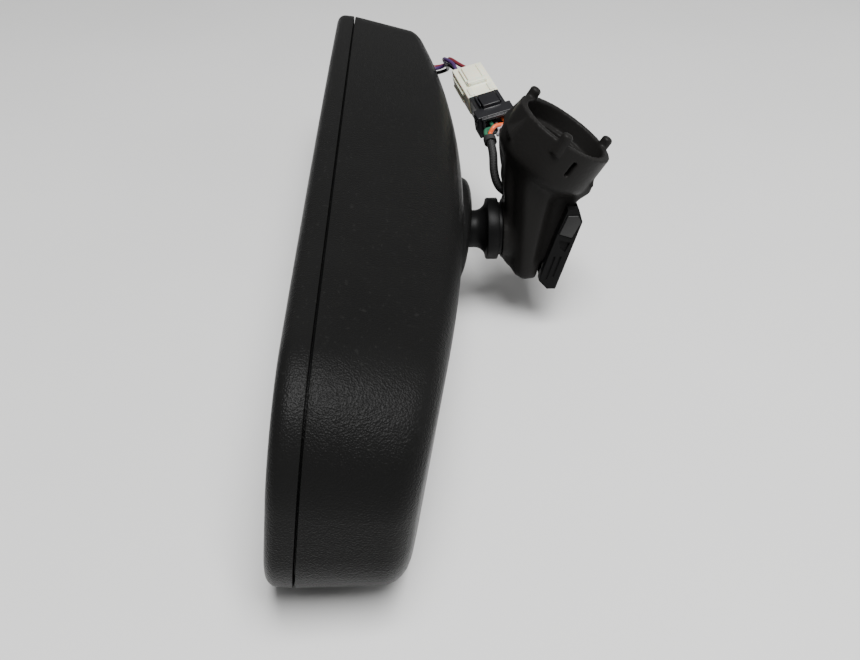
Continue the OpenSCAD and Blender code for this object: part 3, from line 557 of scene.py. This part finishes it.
def cast(name, shape, voxel, rounds):
    """Fuses and rounds a shape all over, as a casting or a thick coat of paint does."""
    mesh = bpy.data.meshes.new(name)
    shape.to_mesh(mesh)
    shape.free()
    made = bpy.data.objects.new(name, mesh)
    bpy.context.collection.objects.link(made)
    fused = made.modifiers.new("fused", "REMESH")
    fused.mode = "VOXEL"
    fused.voxel_size = voxel
    rounded = made.modifiers.new("rounded", "SMOOTH")
    rounded.factor = 0.5
    rounded.iterations = rounds
    result = bmesh.new()
    result.from_mesh(made.evaluated_get(bpy.context.evaluated_depsgraph_get()).to_mesh())
    bpy.data.objects.remove(made)
    return result


coat = pebbled("charcoal_coat", (0.0088, 0.0084, 0.008), 0.48, 0.0009, 0.00004, 1.3, 0.2,
               "bracket_black", 0.08)
casting = cast("bracket_blank", copied("mount_bracket"), 0.42, 2)
SEAT_R, SEAT_TILT, WAIST_Z = 13.7, math.radians(31), -9.0
BOSS_R, BOSS_FRONT = 9.7, -16.5
SOFTENING_ROUNDS = 60
seat_axis = Vector((0, math.sin(SEAT_TILT), math.cos(SEAT_TILT)))


def melts(spot):
    """True below the seat, where the arm has large soft radii, away from the stud's boss."""
    depth = spot.dot(seat_axis)
    near_bore = (spot - depth * seat_axis).length < SEAT_R + 0.8 and depth > WAIST_Z - 4
    on_boss = math.hypot(spot.x, spot.z + BALL_DROP) < BOSS_R and spot.y < BOSS_FRONT
    return depth < WAIST_Z and not near_bore and not on_boss


soft = [vert for vert in casting.verts if melts(vert.co)]
for _ in range(SOFTENING_ROUNDS):
    bmesh.ops.smooth_vert(casting, verts=soft, factor=0.5, use_axis_x=True, use_axis_y=True,
                          use_axis_z=True)
piece("bracket_casting", casting, coat, "bracket", ["mount_bracket"], crease=60)


# ---- Foot cover, its clips and its screws ----
# A moulded black cover slides over the bracket's spine.  Two darker clips lock it at the
# sides, and two small screws hold it from behind.


def eased(shape, width, segments=3, sharp=30):
    """Rounds every edge that is sharper than the given angle."""
    edges = [e for e in shape.edges if e.is_manifold and e.calc_face_angle(0) > math.radians(sharp)]
    bmesh.ops.bevel(shape, geom=edges, offset=width, offset_type="OFFSET", segments=segments, profile=0.5,
                    affect="EDGES", clamp_overlap=True, material=-1)
    return shape


cover_black = pebbled("cover_black", (0.006, 0.006, 0.0061), 0.36, 0.0008, 0.00003, 1.3, 0.15, "cover_black")
piece("foot_cover_shell", eased(copied("foot_cover"), 0.16), cover_black, "bracket", ["foot_cover"],
      crease=40)
clip_black = mottled("clip_black", (0.002, 0.002, 0.002), 0.55, 0.002, 0.00002, "cover_black")
piece("cover_clip_pair", eased(copied("cover_clips"), 0.3), clip_black, "bracket", ["cover_clips"], crease=40)


# ---- Connectors ----
# A natural nylon socket and a black plug with brass pins join the head's lead to the car's
# loom.  Each has a latch tongue on top and moulded ribs to grip.

plug_turn = (Matrix.Rotation(math.radians(14), 4, "Z") @ Matrix.Rotation(math.radians(8), 4, "Y")
             @ Matrix.Rotation(math.radians(12), 4, "X"))
plug_place = Matrix.Translation((-0.0545, -0.023, -0.0086)) @ plug_turn
PALE_L, PALE_W, DARK_L, WIRE_GAP = 20.0, 11.0, 15.0, 2.3


def bar(shape, x0, x1, y0, y1, z0, z1, round_by=0.2):
    """Adds a block with rounded edges."""
    fresh = bmesh.new()
    middle = Matrix.Translation(((x0 + x1) / 2, (y0 + y1) / 2, (z0 + z1) / 2))
    stretch = Matrix.Diagonal((x1 - x0, y1 - y0, z1 - z0, 1))
    bmesh.ops.create_cube(fresh, size=1, matrix=middle @ stretch)
    eased(fresh, round_by)
    mesh = bpy.data.meshes.new("bar")
    fresh.to_mesh(mesh)
    fresh.free()
    shape.from_mesh(mesh)
    bpy.data.meshes.remove(mesh)


def at_plug(shape):
    """Brings a shape in millimetres from the whole object's frame into the connectors' own."""
    shape.transform(Matrix.Scale(MM, 4))
    shape.transform(plug_place.inverted())
    shape.transform(Matrix.Scale(1 / MM, 4))
    return shape


pale = eased(at_plug(copied("pale_connector")), 0.35)
for side in (-1, 1):
    wall_y = side * (PALE_W / 2 + 0.2)
    bar(pale, -8, 4, wall_y - 0.35, wall_y + 0.35, -2.2, -1.2)
    bar(pale, -8, 4, wall_y - 0.35, wall_y + 0.35, 0.8, 1.8)
    bar(pale, -7.6, 3.4, side * 3.2 - 0.4, side * 3.2 + 0.4, 3.2, 4.4)
bar(pale, 1.8, 3.8, -3.4, 3.4, 3.3, 5.1, 0.35)
for place in (-3.6, 3.6):
    bar(pale, 5.0, 9.4, place - 0.9, place + 0.9, 3.2, 3.9)
nylon = Finish("socket_nylon", (0.66, 0.64, 0.50), 0.42, "cream", subsurface_weight=0.15,
               subsurface_scale=0.003)
tone = nylon.noise(0.006, 3.0)
nylon.vary(color=nylon.blend_color(tone, (0.70, 0.68, 0.52, 1), (0.82, 0.80, 0.66, 1)),
           roughness=0.34 + 0.16 * tone)
nylon.relief(nylon.noise(0.0008), 0.00002)
piece("pale_socket", pale, nylon, "roll_liner", ["pale_connector"], plug_place, crease=40)

DARK_X = (PALE_L + DARK_L) / 2
dark = eased(at_plug(copied("dark_connector")), 0.3)
for rib in range(4):
    rib_x = DARK_X + 2.2 + 1.2 * rib
    for rib_y in (-6.4, 6.4):
        bar(dark, rib_x, rib_x + 0.6, rib_y - 0.4, rib_y + 0.4, -3, 3, 0.15)
bar(dark, DARK_X - 5.6, DARK_X + 1, -3.9, -3.3, 3.4, 5.0)
bar(dark, DARK_X - 5.6, DARK_X + 1, 3.3, 3.9, 3.4, 5.0)
plug_black = mottled("plug_black", (0.006, 0.006, 0.0075), 0.38, 0.004, 0.00002, "connector_black")
piece("dark_plug", dark, plug_black, "roll_liner", ["dark_connector"], plug_place, crease=40)
dressed(mottled("brass", (0.70, 0.50, 0.20), 0.25, slot="brass", metallic=1.0), "terminal_pins")


# ---- Lead and loom wires ----
# Thin stranded copper in coloured plastic.  Three wires run from the head's grommet to the
# pale socket, and three more run from the black plug to the braided sleeves.


def turned_point(x, y, z):
    """A point of the connectors, in millimetres, in the whole object's frame."""
    return plug_place @ Vector((x * MM, y * MM, z * MM)) / MM


def head_point(x, y, z):
    """A point of the head, in millimetres, in the whole object's frame."""
    return head_place @ Vector((x * MM, y * MM, z * MM)) / MM


def smoothed(points, parts=6):
    """A smooth curve through the points, each span cut into equal parts."""
    points = [Vector(p) for p in points]
    ends = [points[0]] + points + [points[-1]]
    curve = []
    for a, b, c, d in zip(ends, ends[1:], ends[2:], ends[3:]):
        for i in range(parts):
            t = i / parts
            curve.append(0.5 * (2 * b + (c - a) * t + (2 * a - 5 * b + 4 * c - d) * t * t
                                + (3 * b - a - 3 * c + d) * t**3))
    return curve + [points[-1]]


UV_LENGTH = 10.0


def drawn_tube(points, radius, sides=16):
    """A round tube along a curve, with its length and its girth in the UV map."""
    curve = smoothed(points)
    shape = bmesh.new()
    bmesh.ops.create_circle(shape, cap_ends=True, segments=sides, radius=1)
    turn = shape.verts.layers.int.new("turn")
    run = shape.verts.layers.float.new("run")
    for number, vert in enumerate(sorted(shape.verts, key=lambda v: math.atan2(v.co.y, v.co.x))):
        vert[turn] = number
    side, length = Vector((0, 0, 1)), 0.0
    cap = shape.faces[:]
    for number, centre in enumerate(curve):
        before, after = curve[max(number - 1, 0)], curve[min(number + 1, len(curve) - 1)]
        along = (after - before).normalized()
        side = (side - side.dot(along) * along).normalized()
        up = along.cross(side)
        if number:
            length += (centre - before).length
            cap = [g for g in bmesh.ops.extrude_face_region(shape, geom=cap)["geom"]
                   if isinstance(g, bmesh.types.BMFace)]
        for vert in cap[0].verts:
            angle = 2 * math.pi * vert[turn] / sides
            vert.co = centre + radius * (math.cos(angle) * side + math.sin(angle) * up)
            vert[run] = length
    uv = shape.loops.layers.uv.new("length_and_girth")
    for face in shape.faces:
        wraps = {loop.vert[turn] for loop in face.loops} == {0, sides - 1}
        for loop in face.loops:
            around = sides if wraps and loop.vert[turn] == 0 else loop.vert[turn]
            loop[uv].uv = (loop.vert[run] / UV_LENGTH, around / sides)
    return shape


# Each row of the lead's path is a point and its heading in degrees
lead_path = [(*head_point(GROMMET_X, back_y(GROMMET_X) + d, GROMMET_Z), 0) for d in (-2, 3)]
lead_path += [(-91.2, -31.6, -13.8, 45), (-86.5, -32, -10.2, 88), (-80, -31.4, -8, 84),
              (-73.5, -29.2, -7.3, 74)]
WIRE_R, SLEEVE_R, LEAD_PITCH = 0.7, 1.4, 0.95


def lead(side, lift):
    """One wire of the lead, beside or below the middle of the bundle."""
    points = [(x - side * math.cos(math.radians(h)), y + side * math.sin(math.radians(h)), z + lift)
              for x, y, z, h in lead_path]
    return points + [turned_point(x - PALE_L / 2, 2.2 * side - 1, 0.6 * lift) for x in (-2, 2.5)]


def flexible(name, node, points, radius, finish, sides=16):
    """A wire or sleeve drawn as a fixed tube along its points, in place of its CAD node."""
    made = piece(name, drawn_tube(points, radius, sides), finish, None)
    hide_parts(node)
    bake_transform(made)


def wire(group, name, color, points):
    """One coloured wire of the lead or of the loom."""
    jacket = mottled(group + "_" + name, color, 0.38, 0.003, 0.00001, "wire_" + name)
    flexible(group + "_" + name, group + "_wire_" + name, points, WIRE_R, jacket)


for name, color, side, lift in (("purple", (0.045, 0.018, 0.085), -LEAD_PITCH, 0.6 * LEAD_PITCH),
                                ("red", (0.14, 0.012, 0.02), LEAD_PITCH, 0.6 * LEAD_PITCH),
                                ("black", (0.008, 0.008, 0.01), 0.3 * LEAD_PITCH, -1.75 * LEAD_PITCH)):
    wire("lead", name, color, lead(side, lift))

sleeve_long = [(-1, -15, -23.2), (-4.6, -18.7, -21.6), (-9, -20, -18.9), (-14.5, -20, -15.6),
               (-18.5, -20.3, -13.9), (-22, -20.8, -12.7)]
sleeve_short = [(-2, -14.5, -18.8), (-8.8, -16.2, -17.2), (-15, -16.6, -14.4), (-19.5, -16.4, -12.4),
                (-23.5, -16, -11)]
for name, color, y, z, bend, sleeve, side in (
        ("white", (0.62, 0.66, 0.70), 0, -1.2, (-26.2, -17.4, -13.8), sleeve_short, 0),
        ("orange", (0.62, 0.1, 0.025), WIRE_GAP, 0.6, (-25, -18.6, -10.2), sleeve_long, 1),
        ("green", (0.02, 0.1, 0.055), -WIRE_GAP, 0.6, (-25.6, -21.4, -11.8), sleeve_long, -1)):
    tip = Vector(sleeve[-1])
    way = (tip - Vector(sleeve[-2])).normalized()
    points = [turned_point(DARK_X + DARK_L / 2 + x, y, z) for x in (-2.5, 1.5)] + [bend]
    points += [tip + d * way + side * Vector((0, WIRE_R + 0.05, 0)) for d in (1.8, 0.6)]
    wire("loom", name, color, points)


# ---- Sleeves and their end band ----
# Two black braided sleeves guide the loom wires into the bracket, where the car's own loom
# takes over.  A shrunk band keeps the longer one from fraying.

braid = Finish("black_braid", (0.010, 0.010, 0.0105), 0.6, "wire_black")
weave = braid.add("ShaderNodeUVMap", {"uv_map": "length_and_girth"})
braid_x = braid.add("ShaderNodeSeparateXYZ", {}, {"Vector": weave}, output="X")
braid_y = braid.add("ShaderNodeSeparateXYZ", {}, {"Vector": weave}, output="Y")


def strand(way):
    """One of the braid's two crossing sets of strands."""
    phase = 2 * math.pi * (10 * braid_x + way * 6 * braid_y)
    return 0.5 + 0.5 * braid.add("ShaderNodeMath", {"operation": "SINE"}, {0: phase})


crossing = strand(1) * strand(-1)
# The colour follows the bump's level: the dark where the strands dip is painted shade in the braid's hollows,
# over the weave pattern.
braid.vary(color=braid.blend_color(crossing, (0.004, 0.004, 0.004, 1), (0.022, 0.022, 0.023, 1)),
           roughness=0.65 - 0.2 * crossing)
braid.relief(crossing, 0.00012)
for name, points in (("sleeve_long", sleeve_long), ("sleeve_short", sleeve_short)):
    flexible(name + "_braid", name, points, SLEEVE_R, braid, sides=24)
dressed(rubber, "sleeve_tape")
